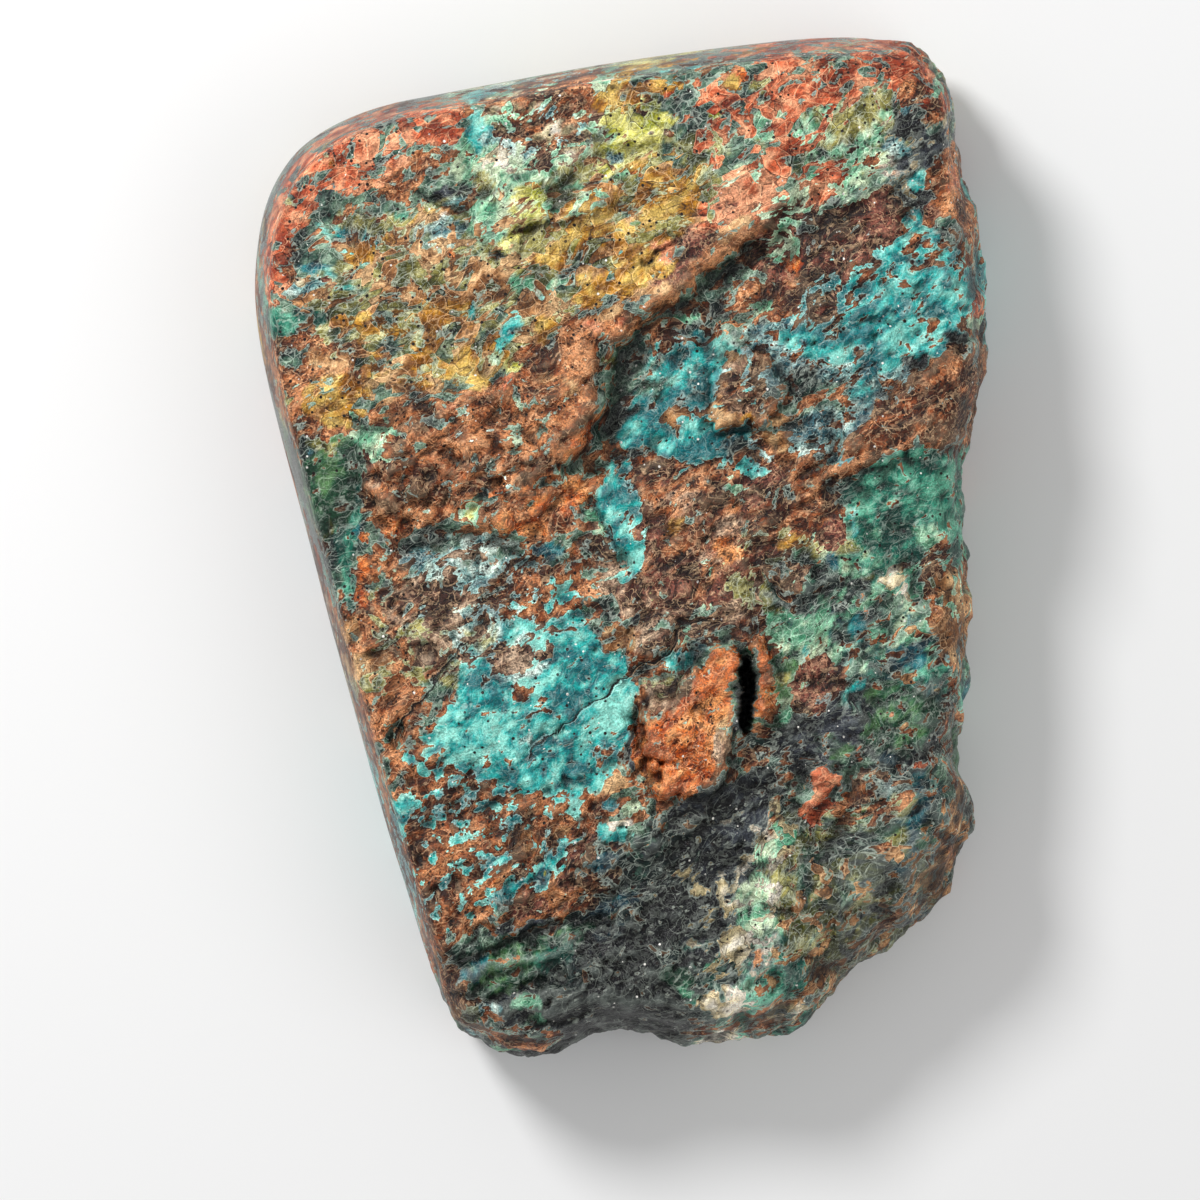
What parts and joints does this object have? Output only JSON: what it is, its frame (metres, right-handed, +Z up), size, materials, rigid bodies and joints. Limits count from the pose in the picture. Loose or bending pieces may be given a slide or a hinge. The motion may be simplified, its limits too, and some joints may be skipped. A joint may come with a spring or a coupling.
{
  "type": "shattuckite nodule",
  "caption": "Palm-sized slab of blue-green copper ore with a rough, ridged face and a flat polished back it rests on.",
  "frame": {"origin": "middle of the stone's outline, at the surface that its flat polished back rests on", "axes": "+Y along the longest side, towards the broad polished end; +Z up, out of the rough face; +X to the right of someone who looks down on the rough face with +Y away from them"},
  "size_m": [0.0584, 0.0815, 0.0191],
  "materials": {
    "mineral": "waxy semi-gloss where polished, granular and duller on the brown crust; turquoise, coral, rust brown, olive gold, emerald and charcoal patches with cream veins"
  },
  "bodies": {
    "root": {"nodule": "mineral"}
  },
  "joints": []
}
